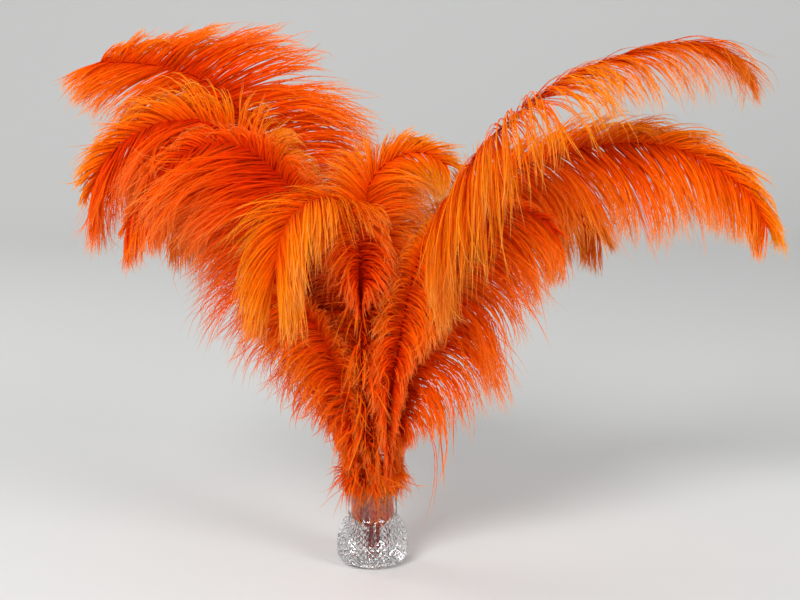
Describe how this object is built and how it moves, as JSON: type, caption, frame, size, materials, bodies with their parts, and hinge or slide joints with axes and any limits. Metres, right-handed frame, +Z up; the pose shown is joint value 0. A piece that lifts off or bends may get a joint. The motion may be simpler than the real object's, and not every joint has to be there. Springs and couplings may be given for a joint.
{
  "type": "bunch of ostrich feathers in a cut-glass vase",
  "caption": "Curling orange-dyed ostrich feathers fanned out of a small round vase of clear cut glass that stands on a flat foot.",
  "frame": {"origin": "middle of the vase's flat foot", "axes": "+Z up along the vase's axis; +X along the longest spread of the feathers, towards the long right-hand feathers; the front of the bunch faces -Y"},
  "size_m": [0.6568, 0.3814, 0.4788],
  "materials": {
    "cut_glass": "clear pressed glass, polished, the bowl cut in small diamond facets below a plain neck",
    "dyed_feather": "soft loose barbs dyed orange, darker red shaft, paler tips"
  },
  "bodies": {
    "root": {"vase": "cut_glass", "plume_right_long": "dyed_feather", "plume_right_top": "dyed_feather", "plume_right_low": "dyed_feather", "plume_left_back": "dyed_feather", "plume_left_middle": "dyed_feather", "plume_left_front": "dyed_feather", "plume_left_low": "dyed_feather", "plume_left_drooping": "dyed_feather", "plume_centre": "dyed_feather", "plume_back_left": "dyed_feather", "plume_back_centre": "dyed_feather", "plume_back_right": "dyed_feather"}
  },
  "joints": []
}
